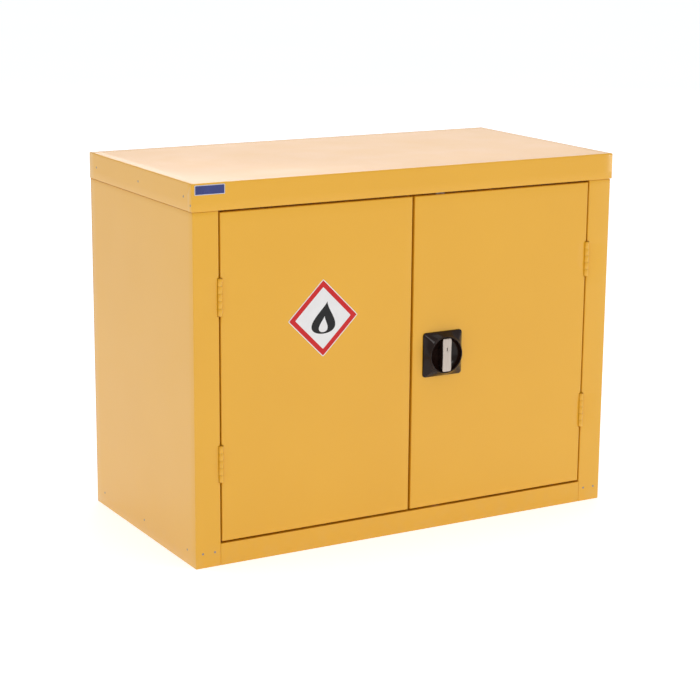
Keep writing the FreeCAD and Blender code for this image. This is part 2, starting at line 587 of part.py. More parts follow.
# --- Trim: blank badge, hazard diamond, rubber buffers and rivets ---
badge_start = "(badge_left - width / 2)"
node(box("NameBadge", (badge_start, f"{badge_start} + badge_width"), (f"{LID_FACE} - badge_depth", LID_FACE),
         ("height - badge_down - badge_height", "height - badge_down")), "name_badge")

label = placed_body("HazardLabel", "label_across", f"{FACE} - label_skin", "label_up")
diamond = [("0", "-label_half"), ("label_half", "0"), ("0", "label_half"), ("-label_half", "0")]
pad(label, outline(label, "LabelDiamond", diamond), "label_skin")
node(label, "hazard_label")

buffers = []
for side_name, side in SIDES.items():
    for index, level in enumerate(("door_bottom + buffer_inset", "door_top - buffer_inset")):
        buffers.append(cylinder(f"Buffer_{side_name}_{index}", "y", "buffer_radius",
                                (f"{REBATE} - buffer_depth", REBATE),
                                (f"{side} * ({OPENING} - rebate_lip / 2 - sheet)", level)))
node(group("DoorBuffers", buffers), "door_buffers")

lid_rivets = []
side_rivets = []
stile_rivets = []
back_rivets = []
for side_name, side in SIDES.items():
    on_lid = mirrored(side, flange_half, f"{flange_half} + rivet_head")
    on_tab = mirrored(side, lid_half, f"{lid_half} + rivet_head")
    on_side = mirrored(side, SIDE, f"{SIDE} + rivet_head")
    on_stile = (f"{FACE} - rivet_head", FACE)
    on_back = (f"{BACK_FACE} - sheet", f"{BACK_FACE} - sheet + rivet_head")
    for index, back in enumerate(LID_RIVET_ROW):
        lid_rivets.append(cylinder(f"LidRivet_{side_name}_{index}", "x", "rivet_radius", on_lid,
                                   (f"{LID_FACE} + {back}", "height - lid_rivet_down")))
    lid_rivets.append(cylinder(f"TabRivet_{side_name}", "x", "rivet_radius", on_tab,
                               (f"{LID_FACE} + tab_rivet_back", "height - tab_rivet_down")))
    for index, back in enumerate(BASE_RIVET_ROW):
        side_rivets.append(cylinder(f"SideRivet_{side_name}_{index}", "x", "rivet_radius", on_side,
                                    (f"{LID_FACE} + {back}", "base_rivet_up")))
    for inset in ("stile_rivet_outer", "stile_rivet_inner"):
        stile_rivets.append(cylinder(f"StileRivet_{side_name}_{inset}", "y", "rivet_radius", on_stile,
                                     (f"{side} * ({SIDE} - {inset})", "base_rivet_up")))
    for index, level in enumerate(BACK_RIVET_ROW):
        back_rivets.append(cylinder(f"BackRivet_{side_name}_{index}", "y", "rivet_radius", on_back,
                                    (f"{side} * ({SIDE} - foot_flange / 2)", f"{level}")))
node(group("LidRivets", lid_rivets), "lid_rivets")
node(group("SideRivets", side_rivets), "side_rivets")
node(group("StileRivets", stile_rivets), "stile_rivets")
node(group("BackRivets", back_rivets), "back_rivets")


# --- Check everything, then write one file for each sub-part ---
doc.recompute()
failed = [item.Name for item in doc.Objects if "Invalid" in item.State or "Error" in item.State]
if failed:
    raise RuntimeError(f"failed objects: {failed}")
for label_name, item in parts.items():
    if item.Shape.isNull() or not item.Shape.isValid():
        raise RuntimeError(f"bad shape: {label_name}")
os.makedirs("parts", exist_ok=True)
for label_name, item in parts.items():
    item.Shape.exportStep(f"parts/{label_name}.step")
    print(label_name, len(item.Shape.Solids), round(item.Shape.Volume))
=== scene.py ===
"""Flammable storage cabinet: folded sheet steel in hazard yellow, with a turning grip lock.

All lengths are in metres. X runs to the right as seen from the front, Y to the back and Z up.
"""
import math
import bmesh
import bpy
import numpy as np
from mathutils import Matrix, Vector


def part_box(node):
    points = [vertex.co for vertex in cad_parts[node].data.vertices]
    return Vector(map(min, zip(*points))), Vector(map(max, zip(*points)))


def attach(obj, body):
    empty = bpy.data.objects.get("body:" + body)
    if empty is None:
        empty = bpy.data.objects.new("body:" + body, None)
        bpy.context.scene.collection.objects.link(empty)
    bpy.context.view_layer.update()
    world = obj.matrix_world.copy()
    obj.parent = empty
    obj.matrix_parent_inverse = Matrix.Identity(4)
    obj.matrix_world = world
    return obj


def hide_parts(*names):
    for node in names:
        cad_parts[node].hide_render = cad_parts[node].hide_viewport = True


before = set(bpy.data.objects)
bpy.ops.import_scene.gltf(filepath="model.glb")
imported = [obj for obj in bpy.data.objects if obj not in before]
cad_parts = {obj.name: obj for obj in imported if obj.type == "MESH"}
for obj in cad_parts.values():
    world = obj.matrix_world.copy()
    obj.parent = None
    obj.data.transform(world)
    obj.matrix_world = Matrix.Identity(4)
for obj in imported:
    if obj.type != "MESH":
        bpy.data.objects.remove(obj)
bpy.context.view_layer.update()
MM = 0.001

# --- Studio -------------------------------------------------------------------------------
# A pale floor in a white room, a broad lamp overhead, softer ones in front, to the side and
# behind, and two small bright ones that the glossy lock reflects.
# The camera stands to the left of the doors, a little above the lid.
VIEW_AZIMUTH = math.radians(-29.775)
VIEW_ELEVATION = math.radians(13.474)
VIEW_ROLL = math.radians(0.493)
VIEW_DISTANCE = 3.8444
VIEW_LENS = 100.16
body_middle = (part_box("top_panel")[0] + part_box("top_panel")[1]) / 2
view_target = Vector((-0.0017, body_middle.y, 0.3087))

towards_camera = Vector((math.sin(VIEW_AZIMUTH) * math.cos(VIEW_ELEVATION),
                         -math.cos(VIEW_AZIMUTH) * math.cos(VIEW_ELEVATION), math.sin(VIEW_ELEVATION)))
level_right = Vector((0, 0, 1)).cross(towards_camera).normalized()
level_up = towards_camera.cross(level_right)
rolled_right = level_right * math.cos(VIEW_ROLL) + level_up * math.sin(VIEW_ROLL)
rolled_up = level_up * math.cos(VIEW_ROLL) - level_right * math.sin(VIEW_ROLL)
camera = bpy.data.objects.new("Camera", bpy.data.cameras.new("Camera"))
camera.matrix_world = Matrix.Translation(view_target + towards_camera * VIEW_DISTANCE) @ Matrix(
    (rolled_right, rolled_up, towards_camera)).transposed().to_4x4()
camera.data.lens = VIEW_LENS
camera.data.clip_end = 400
bpy.context.scene.collection.objects.link(camera)
bpy.context.scene.camera = camera
bpy.context.scene.view_settings.view_transform = "Standard"


def new_material(name, metallic=0.0, ior=1.5, coat=0.0, coat_roughness=0.03):
    """Material with one Principled shader; returns it with its nodes, its links and the shader."""
    made = bpy.data.materials.new(name)
    made.use_nodes = True
    nodes, links = made.node_tree.nodes, made.node_tree.links
    shader = nodes["Principled BSDF"]
    shader.inputs["Metallic"].default_value = metallic
    shader.inputs["IOR"].default_value = ior
    shader.inputs["Coat Weight"].default_value = coat
    shader.inputs["Coat Roughness"].default_value = coat_roughness
    return made, nodes, links, shader


def grain(nodes, links, scale, detail=3.0, stretch=(1, 1, 1)):
    """Noise on object coordinates, finer along an axis by its stretch; returns the noise's value."""
    place = nodes.new("ShaderNodeTexCoord")
    mapping = nodes.new("ShaderNodeMapping")
    mapping.inputs["Scale"].default_value = stretch
    noise = nodes.new("ShaderNodeTexNoise")
    noise.inputs["Scale"].default_value = scale
    noise.inputs["Detail"].default_value = detail
    links.new(place.outputs["Object"], mapping.inputs["Vector"])
    links.new(mapping.outputs["Vector"], noise.inputs["Vector"])
    return noise.outputs["Fac"]


def shaded(nodes, links, value, *stops):
    """Colour ramp over a value; each stop is a place and a linear colour."""
    ramp = nodes.new("ShaderNodeValToRGB")
    while len(ramp.color_ramp.elements) < len(stops):
        ramp.color_ramp.elements.new(0.5)
    for element, (place, colour) in zip(ramp.color_ramp.elements, stops):
        element.position = place
        element.color = (*colour, 1)
    links.new(value, ramp.inputs["Fac"])
    return ramp.outputs["Color"]


def ranged(nodes, links, value, low, high, start=0.2, end=0.8):
    """Value spread from low to high as the input goes from start to end."""
    spread = nodes.new("ShaderNodeMapRange")
    for socket, number in (("From Min", start), ("From Max", end), ("To Min", low), ("To Max", high)):
        spread.inputs[socket].default_value = number
    links.new(value, spread.inputs["Value"])
    return spread.outputs["Result"]


def relief(nodes, links, shader, value, depth, strength=1.0):
    """Bump of the given depth in metres from a value."""
    bump = nodes.new("ShaderNodeBump")
    bump.inputs["Distance"].default_value = depth
    bump.inputs["Strength"].default_value = strength
    links.new(value, bump.inputs["Height"])
    links.new(bump.outputs["Normal"], shader.inputs["Normal"])


floor_paint, nodes, links, shader = new_material("studio_floor")
floor_tone = shaded(nodes, links, grain(nodes, links, 0.8), (0.3, (0.93,) * 3), (0.7, (0.95,) * 3))
links.new(floor_tone, shader.inputs["Base Color"])
shader.inputs["Roughness"].default_value = 0.7
shader.inputs["Specular IOR Level"].default_value = 0.1
shader.inputs["Emission Color"].default_value = (0.92, 0.97, 1.0, 1)
shader.inputs["Emission Strength"].default_value = 0.465
floor_mesh = bpy.data.meshes.new("studio_floor")
FLOOR_REACH = 150
floor_mesh.from_pydata([(-FLOOR_REACH, -FLOOR_REACH, 0), (FLOOR_REACH, -FLOOR_REACH, 0),
                        (FLOOR_REACH, FLOOR_REACH, 0), (-FLOOR_REACH, FLOOR_REACH, 0)], [], [(0, 1, 2, 3)])
floor_mesh.materials.append(floor_paint)
floor = bpy.data.objects.new("studio_floor", floor_mesh)
bpy.context.scene.collection.objects.link(floor)

room = bpy.data.worlds.new("studio_room")
bpy.context.scene.world = room
room.use_nodes = True
room.node_tree.nodes["Background"].inputs["Color"].default_value = (1.0, 1.0, 1.0, 1)
room.node_tree.nodes["Background"].inputs["Strength"].default_value = 0.60


def soft_lamp(name, place, aim, size, power, colour=(1, 1, 1)):
    """Square area lamp at a place, turned towards a point."""
    lamp = bpy.data.objects.new(name, bpy.data.lights.new(name, "AREA"))
    lamp.data.size = size
    lamp.data.energy = power
    lamp.data.color = colour
    lamp.location = place
    lamp.rotation_euler = (Vector(aim) - Vector(place)).to_track_quat("-Z", "Y").to_euler()
    bpy.context.scene.collection.objects.link(lamp)


soft_lamp("overhead_lamp", (-0.2, 0.0, 3.2), (0, 0, 0.6), 3.0, 22)
soft_lamp("front_lamp", (-0.6, -3.2, 3.0), (0, -0.2, 0.6), 2.0, 3)
soft_lamp("side_lamp", (-3.0, 0.2, 3.2), (-0.4, 0, 0.6), 1.6, 3)
soft_lamp("back_lamp", (3.4, 6.0, 3.4), (0, 0, 0.7), 3.4, 60, (1.0, 0.90, 0.95))
soft_lamp("upper_spark", (-0.70, -2.70, 1.86), (0.07, -0.22, 0.34), 0.7, 6)
soft_lamp("right_spark", (2.6, -1.6, 0.5), (0.07, -0.22, 0.34), 0.5, 4)


# --- Hazard yellow powder coat ------------------------------------------------------------
# Baked polyester powder on steel: a fine orange peel, a slightly uneven gloss, and a little
# dust low down where the cabinet meets the floor.
YELLOW = (0.80, 0.41, 0.018)
YELLOW_DEEP = (0.77, 0.385, 0.014)
DUSTY = (0.74, 0.41, 0.08)

yellow_paint, nodes, links, shader = new_material("hazard_yellow", ior=1.5, coat=0.25, coat_roughness=0.06)
clouds = shaded(nodes, links, grain(nodes, links, 4.0), (0.2, YELLOW_DEEP), (0.8, YELLOW))
height_place = nodes.new("ShaderNodeTexCoord")
height_split = nodes.new("ShaderNodeSeparateXYZ")
links.new(height_place.outputs["Object"], height_split.inputs["Vector"])
near_floor = ranged(nodes, links, height_split.outputs["Z"], 1.0, 0.0, start=0.0, end=0.05)
dust_amount = nodes.new("ShaderNodeMath")
dust_amount.operation = "MULTIPLY"
links.new(near_floor, dust_amount.inputs[0])
links.new(ranged(nodes, links, grain(nodes, links, 45.0, detail=6.0), 0.0, 0.35, start=0.45, end=0.7),
          dust_amount.inputs[1])
dusting = nodes.new("ShaderNodeMix")
dusting.data_type = "RGBA"
links.new(dust_amount.outputs["Value"], dusting.inputs["Factor"])
links.new(clouds, dusting.inputs["A"])
dusting.inputs["B"].default_value = (*DUSTY, 1)
links.new(dusting.outputs["Result"], shader.inputs["Base Color"])
links.new(ranged(nodes, links, grain(nodes, links, 12.0), 0.28, 0.34), shader.inputs["Roughness"])
relief(nodes, links, shader, grain(nodes, links, 700.0, detail=2.0), 0.00004)


def skin(name, points, left_out=None, outward=True):
    """Mesh over a grid of points, one quad to a cell; cells where left_out is true stay open."""
    rows, columns = points.shape[:2]
    index = np.arange(rows * columns).reshape(rows, columns)
    quads = np.stack([index[:-1, :-1], index[:-1, 1:], index[1:, 1:], index[1:, :-1]], axis=-1)
    if left_out is not None:
        quads = quads[~left_out]
    quads = quads.reshape(-1, 4)
    if not outward:
        quads = quads[:, ::-1]
    mesh = bpy.data.meshes.new(name)
    mesh.from_pydata(points.reshape(-1, 3).tolist(), [], quads.tolist())
    piece = bpy.data.objects.new(name, mesh)
    bpy.context.scene.collection.objects.link(piece)
    return piece


def centres(points):
    """Middle of each cell of a grid of points."""
    return (points[:-1, :-1] + points[1:, :-1] + points[:-1, 1:] + points[1:, 1:]) / 4


def joined(name, pieces):
    """One object out of several, with coincident points welded and stray ones dropped."""
    whole = bmesh.new()
    for piece in pieces:
        whole.from_mesh(piece.data)
        bpy.data.objects.remove(piece)
    bmesh.ops.remove_doubles(whole, verts=whole.verts, dist=0.00001)
    loose = [point for point in whole.verts if not point.link_faces]
    bmesh.ops.delete(whole, geom=loose, context="VERTS")
    mesh = bpy.data.meshes.new(name)
    whole.to_mesh(mesh)
    whole.free()
    piece = bpy.data.objects.new(name, mesh)
    bpy.context.scene.collection.objects.link(piece)
    return piece


def settled(piece, finish, crease=35.0):
    """Applies the modifiers, then shades smoothly except over edges sharper than the crease."""
    graph = bpy.context.evaluated_depsgraph_get()
    mesh = bpy.data.meshes.new_from_object(piece.evaluated_get(graph))
    piece.modifiers.clear()
    piece.data = mesh
    mesh.shade_smooth()
    mesh.set_sharp_from_angle(angle=math.radians(crease))
    mesh.materials.clear()
    mesh.materials.append(finish)
    return piece


def gauged(piece, gauge, cut_edge=0.2 * MM):
    """Gives a skin its sheet thickness inwards and breaks the cut edges."""
    plate = piece.modifiers.new("gauge", "SOLIDIFY")
    plate.thickness = gauge
    plate.offset = -1
    plate.use_even_offset = True
    edge = piece.modifiers.new("cut_edge", "BEVEL")
    edge.width = cut_edge
    edge.segments = 2
    edge.limit_method = "ANGLE"
    edge.angle_limit = math.radians(50)
    return piece


def bent(corners, radius, steps=5):
    """Fold line: each corner becomes an arc of the radius, tangent to the run before and the run after."""
    corners = np.array(corners, float)
    line = [corners[:1]]
    for before, corner, after in zip(corners, corners[1:], corners[2:]):
        arriving = (corner - before) / np.linalg.norm(corner - before)
        leaving = (after - corner) / np.linalg.norm(after - corner)
        turn = math.acos(np.clip(arriving @ leaving, -1, 1))
        if turn < 0.01:
            line.append(corner[None])
            continue
        angles = np.linspace(0, turn, steps + 1)[:, None]
        inner = (leaving - arriving) / np.linalg.norm(leaving - arriving)
        centre = corner + inner * radius / math.cos(turn / 2)
        start = corner - arriving * radius * math.tan(turn / 2) - centre
        line.append(centre + np.cos(angles) * start + np.sin(angles) * arriving * radius)
    line.append(corners[-1:])
    return np.concatenate(line)


def stations(low, high, pitch, *needed):
    """Sorted places from low to high: even ones about a pitch apart, and the needed ones exactly."""
    needed = np.array([low, high, *needed])
    count = max(2, round((high - low) / pitch) + 1)
    even = np.linspace(low, high, count)
    clear = np.abs(even[:, None] - needed[None]).min(axis=1) > pitch / 4
    return np.sort(np.concatenate([even[clear], needed]))


def wave(across, along, depth, phase):
    """Unevenness of flat sheet: three crossing sines pressed in, up to the depth, fading at the folds."""
    u = (across - across.min()) / np.ptp(across)
    v = (along - along.min()) / np.ptp(along)
    edge = np.clip(np.minimum(np.minimum(u, 1 - u), np.minimum(v, 1 - v)) / 0.12, 0, 1)
    swell = np.sin(5.1 * u + 2.3 * v + phase) + 0.6 * np.sin(9.7 * v - 3.1 * u + 2 * phase)
    swell = swell + 0.4 * np.sin(14.3 * u + 6.2 * v + 3 * phase)
    return depth * (2 - swell) / 4 * edge * edge * (3 - 2 * edge)


def dressed(name, finish, edge=0.3 * MM, crease=35.0):
    """Gives a carried-over piece its finish, and rounds its sharp edges a little."""
    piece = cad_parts[name]
    piece.data.materials.clear()
    piece.data.materials.append(finish)
    weld = piece.modifiers.new("weld", "WELD")
    weld.merge_threshold = 0.000005
    soften = piece.modifiers.new("soften", "BEVEL")
    soften.width = edge
    soften.segments = 2
    soften.limit_method = "ANGLE"
    soften.angle_limit = math.radians(crease)
    soften.harden_normals = True
    return piece


# --- Base tray, header rail and back panel ------------------------------------------------
# An inverted tray carries the cabinet; its front flange is the bottom rail. The header is a
# channel behind the lid's flange, and a flat sheet closes the back. All are spot-welded.
for name in ("base_tray", "header_rail", "back_panel"):
    dressed(name, yellow_paint)


# --- Side panels --------------------------------------------------------------------------
# One sheet each: side, front stile, return and rebate lip are folds of the same blank, and
# the stile's edge is notched round the hinge barrels. The flat of the side is a little wavy,
# and a narrow groove is pressed in where the lid's flange ends.
GAUGE = 1.0 * MM
FOLD = 2.0 * MM
NOTCH = 5.0 * MM
STILE = 50.0 * MM
LID_SEAM = 1.4 * MM
REBATE_DEPTH = 22.0 * MM
BACK_RETURN = 20.0 * MM
side_low, side_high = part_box("left_side_panel")
lid_low, lid_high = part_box("top_panel")
rail_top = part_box("base_tray")[1].z
pin_low, pin_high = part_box("right_lower_hinge_pin")
hinge_axis = (pin_low.x + pin_high.x) / 2
hinge_boxes = [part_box(f"left_{level}_hinge_frame_leaf") for level in ("lower", "upper")]
hinge_levels = [(low.z + high.z) / 2 for low, high in hinge_boxes]
hinge_half = (hinge_boxes[0][1].z - hinge_boxes[0][0].z) / 2 + GAUGE
notch_edges = [level + sign * hinge_half for level in hinge_levels for sign in (-1, 1)]
face = side_low.y
side_outer = -side_low.x
opening = side_outer - STILE
rebate = face + REBATE_DEPTH


def in_notch(middle):
    """True for the cells beside a hinge barrel, on either side of the middle."""
    beside_axis = np.abs(np.abs(middle[..., 0]) - hinge_axis) < NOTCH
    near_face = np.abs(middle[..., 1] - face) < NOTCH
    at_hinge = np.any([np.abs(middle[..., 2] - level) < hinge_half for level in hinge_levels], axis=0)
    return beside_axis & near_face & at_hinge


def side_panel(name, side):
    """The fold line in plan carried straight up: point (i, j) is line point i at height j."""
    corners = [(-side_high.x, rebate), (opening, rebate), (opening, face + NOTCH), (opening, face),
               (hinge_axis + NOTCH, face), (side_outer, face), (side_outer, side_high.y),
               (side_outer - BACK_RETURN, side_high.y)]
    line = bent(corners, FOLD)
    flat = np.isclose(line[:, 0], side_outer).nonzero()[0]
    runs = stations(line[flat[0], 1], line[flat[-1], 1], 0.02)[1:-1]
    runs = np.stack([np.full(len(runs), side_outer), runs], axis=1)
    line = np.concatenate([line[:flat[0] + 1], runs, line[flat[-1]:]])
    groove_edges = [lid_low.z - 1.2 * LID_SEAM, lid_low.z - LID_SEAM, lid_low.z + LID_SEAM]
    heights = stations(0, side_high.z, 0.02, rail_top + GAUGE, lid_low.z, *notch_edges, *groove_edges)
    place, height = np.meshgrid(np.arange(len(line)), heights, indexing="ij")
    points = np.stack([line[place, 0], line[place, 1], height], axis=-1)
    pressed = wave(points[..., 1], points[..., 2], 0.5 * MM, 1.1 + side)
    points[..., 0] -= np.where(points[..., 0] > side_outer - MM / 100, pressed, 0)
    in_groove = (height > lid_low.z - 1.1 * LID_SEAM) & (height < lid_low.z + MM / 10)
    on_face = points[..., 1] < face + 1.01 * FOLD
    points[..., 0] -= np.where(in_groove & (points[..., 0] > side_outer - 1.01 * FOLD), GAUGE, 0)
    points[..., 1] += np.where(in_groove & on_face, GAUGE, 0)
    middle = centres(points)
    behind_face = (middle[..., 1] > face + FOLD / 4) & (middle[..., 1] < rebate + MM)
    low_return = (middle[..., 0] < opening + FOLD / 4) & behind_face & (middle[..., 2] < rail_top + GAUGE)
    high_lip = (middle[..., 0] < opening - FOLD / 4) & behind_face & (middle[..., 2] > lid_low.z)
    left_out = in_notch(middle) | low_return | high_lip
    points[..., 0] *= side
    foot_x, foot_y = np.meshgrid([side_outer - BACK_RETURN, side_outer - GAUGE],
                                 stations(rebate, side_high.y - GAUGE, 0.05), indexing="ij")
    foot = np.stack([foot_x * side, foot_y, foot_x * 0], axis=-1)
    folds = skin("folds", points, left_out, outward=side < 0)
    return joined(name, [folds, skin("foot", foot, outward=side > 0)])


for side, name in ((-1, "left_side_panel"), (1, "right_side_panel")):
    panel = settled(gauged(side_panel(name + "_sheet", side), GAUGE), yellow_paint)
    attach(panel, "cabinet")
    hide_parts(name)


# --- Trays, uprights and shelf clips ------------------------------------------------------
# Folded trays in the same paint: one in the base for spills, one as the shelf. The uprights
# are slotted zinc-plated channels spot-welded to the sides, with a hooked clip in each.
zinc_plate, nodes, links, shader = new_material("zinc_plate", metallic=1.0)
spangle = grain(nodes, links, 160.0, detail=2.0)
links.new(shaded(nodes, links, spangle, (0.2, (0.55, 0.56, 0.57)), (0.8, (0.68, 0.69, 0.71))),
          shader.inputs["Base Color"])
links.new(ranged(nodes, links, grain(nodes, links, 60.0), 0.28, 0.44), shader.inputs["Roughness"])
relief(nodes, links, shader, spangle, 0.00002)

for name in ("sump_tray", "shelf_tray", "door_stop_strip"):
    dressed(name, yellow_paint)
for side in ("left", "right"):
    for place in ("front", "rear"):
        dressed(f"{side}_{place}_upright", zinc_plate, edge=0.15 * MM)
        dressed(f"{side}_{place}_shelf_clip", zinc_plate, edge=0.15 * MM)


# --- Lid ----------------------------------------------------------------------------------
# A shallow pan turned upside down over the sides. Its front flange is folded round both
# corners as a small tab with a sloping top edge, riveted over the side flange.
LID_TAB = 16.0 * MM
LID_TAB_SLOPE = 18.5 * MM
TAB_STEP = 0.5 * MM
TAB_SLIT = 1.8 * MM


def ring_rows(depth, rear_lip, *levels):
    """Rows of a pan's edge as (inset, depth): a front fold, a straight flange, then a rear fold and lip."""
    turn = np.linspace(0, math.pi / 2, 6)
    front = np.stack([FOLD * (1 - np.sin(turn)), FOLD * (1 - np.cos(turn))], axis=1)
    if not rear_lip:
        return np.concatenate([front, np.array([[0, level] for level in (*levels, depth)])])
    rear = np.stack([FOLD * (1 - np.cos(turn)), depth - FOLD * (1 - np.sin(turn))], axis=1)
    return np.concatenate([front, np.array([[0, level] for level in levels]), rear, [[rear_lip, depth]]])


def pan_edge(across, along, rows):
    """Band round a pan: each border station moved to the row's inset, with its corners mitred.

    Returns the two coordinates in the pan's plane and the depth, each (rows, border points).
    """
    low = np.array([across[0], along[0]]) - FOLD
    high = np.array([across[-1], along[-1]]) + FOLD
    border = np.concatenate([
        np.stack([across, np.full(len(across), along[0])], axis=1),
        np.stack([np.full(len(along) - 1, across[-1]), along[1:]], axis=1),
        np.stack([across[-2::-1], np.full(len(across) - 1, along[-1])], axis=1),
        np.stack([np.full(len(along) - 1, across[0]), along[-2::-1]], axis=1)])
    inset = rows[:, 0][:, None, None]
    kept = np.clip(border, low + inset, high - inset)
    kept = np.where(np.isclose(border, low + FOLD), low + inset, kept)
    kept = np.where(np.isclose(border, high - FOLD), high - inset, kept)
    return kept[..., 0], kept[..., 1], np.broadcast_to(rows[:, 1][:, None], kept.shape[:2])


lid_reach = lid_high.x - GAUGE
lid_flange = lid_high.z - lid_low.z
lid_rows = ring_rows(lid_flange, 0, 6 * MM, LID_TAB_SLOPE, 34 * MM)
lid_across = stations(-lid_reach + FOLD, lid_reach - FOLD, 0.02)
lid_front = lid_low.y + FOLD
slit_end = lid_front + TAB_STEP + TAB_SLIT
lid_along = np.concatenate([[lid_front, lid_front + TAB_STEP, slit_end],
                            stations(lid_low.y + LID_TAB + 4 * MM, lid_high.y - FOLD, 0.02)])

flat_x, flat_y = np.meshgrid(lid_across, lid_along, indexing="ij")
flat_z = lid_high.z - wave(flat_x, flat_y, 0.5 * MM, 0.4)
lid_top = skin("lid_top", np.stack([flat_x, flat_y, flat_z], axis=-1), outward=False)

# On the flanges the second and third columns run down the tab's sloping edge with a slit
# between them, and what lies in front stands one gauge further out than the side flange.
edge_x, edge_y, edge_depth = pan_edge(lid_across, lid_along, lid_rows)
on_side = np.abs(edge_x) > lid_reach - FOLD - MM / 100
slope = np.clip(edge_depth / LID_TAB_SLOPE, 0, 1)
tab_reach = lid_front + TAB_STEP + (LID_TAB - FOLD - TAB_STEP) * slope
at_step = on_side & np.isclose(edge_y, lid_front + TAB_STEP)
past_step = on_side & np.isclose(edge_y, slit_end)
edge_y = np.where(at_step, tab_reach, np.where(past_step, tab_reach + TAB_SLIT, edge_y))
on_tab = on_side & ((edge_y < lid_front + TAB_STEP / 2) | at_step)
edge_x = edge_x + np.where(on_tab, np.sign(edge_x) * GAUGE * np.clip(edge_depth / FOLD, 0, 1), 0)
between = (at_step[:, :-1] & past_step[:, 1:]) | (past_step[:, :-1] & at_step[:, 1:])
slit = between[:-1] & between[1:] & (edge_depth[:-1, 1:] > FOLD / 4)
edge_points = np.stack([edge_x, edge_y, lid_high.z - edge_depth], axis=-1)
lid_edge = skin("lid_edge", edge_points, slit, outward=False)

lid = settled(gauged(joined("lid_sheet", [lid_top, lid_edge]), GAUGE), yellow_paint)
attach(lid, "cabinet")
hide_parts("top_panel")


# --- Doors --------------------------------------------------------------------------------
# Each door is a pan of one sheet: skin, four returns and a rear lip, notched round the hinge
# barrels. The right one has slots for the lock rods and a hole behind the lock.
DOOR_LIP = 12.0 * MM
ROD_SLOT_FRONT = 14.5 * MM
ROD_SLOT_BACK = 19.0 * MM
ROD_WIDTH = 19.0 * MM
spindle_low, spindle_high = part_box("lock_spindle")
lock_x = (spindle_low.x + spindle_high.x) / 2
lock_z = (spindle_low.z + spindle_high.z) / 2
spindle_hole = (spindle_high.x - spindle_low.x) / 2 + GAUGE
rod_half = ROD_WIDTH / 2 + GAUGE


def door_pan(name, low, high, hinge_side, holes):
    """Skin on a grid of x and z stations, and its edge band; holes are left-out cell tests."""
    inner_notch = hinge_side * (hinge_axis - NOTCH)
    across = stations(low.x + FOLD, high.x - FOLD, 0.02, inner_notch, *holes["across"])
    along = stations(low.z + FOLD, high.z - FOLD, 0.02, *notch_edges, *holes["along"])
    x, z = np.meshgrid(across, along, indexing="ij")
    front = np.stack([x, low.y + wave(x, z, 0.3 * MM, 2.0 + hinge_side), z], axis=-1)
    rows = ring_rows(high.y - low.y, DOOR_LIP, NOTCH, ROD_SLOT_FRONT)
    edge_x, edge_z, depth = pan_edge(across, along, rows)
    band = np.stack([edge_x, low.y + depth, edge_z], axis=-1)
    skins = [skin(part, points, in_notch(centres(points)) | holes["test"](centres(points)), outward=False)
             for part, points in (("front", front), ("band", band))]
    return joined(name, skins)


def lock_holes(middle):
    """True behind the spindle, and where the rods pass through the top and bottom returns."""
    in_line = np.abs(middle[..., 0] - lock_x)
    behind_spindle = (in_line < spindle_hole) & (np.abs(middle[..., 2] - lock_z) < spindle_hole)
    deep = middle[..., 1] - face
    at_rods = (in_line < rod_half) & (deep > ROD_SLOT_FRONT) & (deep < ROD_SLOT_BACK)
    return (behind_spindle & (deep < GAUGE)) | at_rods


lock_cuts = {"across": [lock_x + sign * half for half in (spindle_hole, rod_half) for sign in (-1, 1)],
             "along": [lock_z + sign * spindle_hole for sign in (-1, 1)], "test": lock_holes}
no_cuts = {"across": [], "along": [], "test": lambda middle: np.zeros(middle.shape[:2], bool)}
for side, hinge_side, cuts in (("left", -1, no_cuts), ("right", 1, lock_cuts)):
    door_low, door_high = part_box(f"{side}_door_panel")
    door = door_pan(f"{side}_door_pan", door_low, door_high, hinge_side, cuts)
    settled(gauged(door, GAUGE), yellow_paint)
    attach(door, f"{side}_door")
    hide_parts(f"{side}_door_panel")
    dressed(f"{side}_door_stiffener", yellow_paint)


# --- Door buffers -------------------------------------------------------------------------
# Small moulded rubber studs on the rebate lips, which the closed doors nearly touch.
rubber, nodes, links, shader = new_material("black_rubber")
links.new(shaded(nodes, links, grain(nodes, links, 300.0), (0.3, (0.012,) * 3), (0.7, (0.022,) * 3)),
          shader.inputs["Base Color"])
links.new(ranged(nodes, links, grain(nodes, links, 900.0), 0.6, 0.8), shader.inputs["Roughness"])
relief(nodes, links, shader, grain(nodes, links, 1500.0), 0.00005)
dressed("door_buffers", rubber, edge=0.4 * MM)


# --- Hinges -------------------------------------------------------------------------------
# Five-knuckle butt hinges, welded to the stile and the door before painting. The knuckles
# show in the gap; the pin's ends stand a little proud and are painted over.
for side in ("left", "right"):
    for level in ("lower", "upper"):
        for leaf in ("frame", "door"):
            dressed(f"{side}_{level}_hinge_{leaf}_leaf", yellow_paint, edge=0.25 * MM)
        dressed(f"{side}_{level}_hinge_pin", yellow_paint, edge=0.3 * MM)


# --- Lock rods, cam and lock body ---------------------------------------------------------
# The grip's spindle turns a cam behind the right door; two crank pins on it draw the flat
# rods in through folded guides. All of it is zinc-plated.
for name in ("lock_body", "lock_spindle", "lock_cam", "cam_screw", "upper_lock_rod", "lower_lock_rod",
             "upper_rod_guide", "lower_rod_guide", "escutcheon_screws"):
    dressed(name, zinc_plate, edge=0.2 * MM)


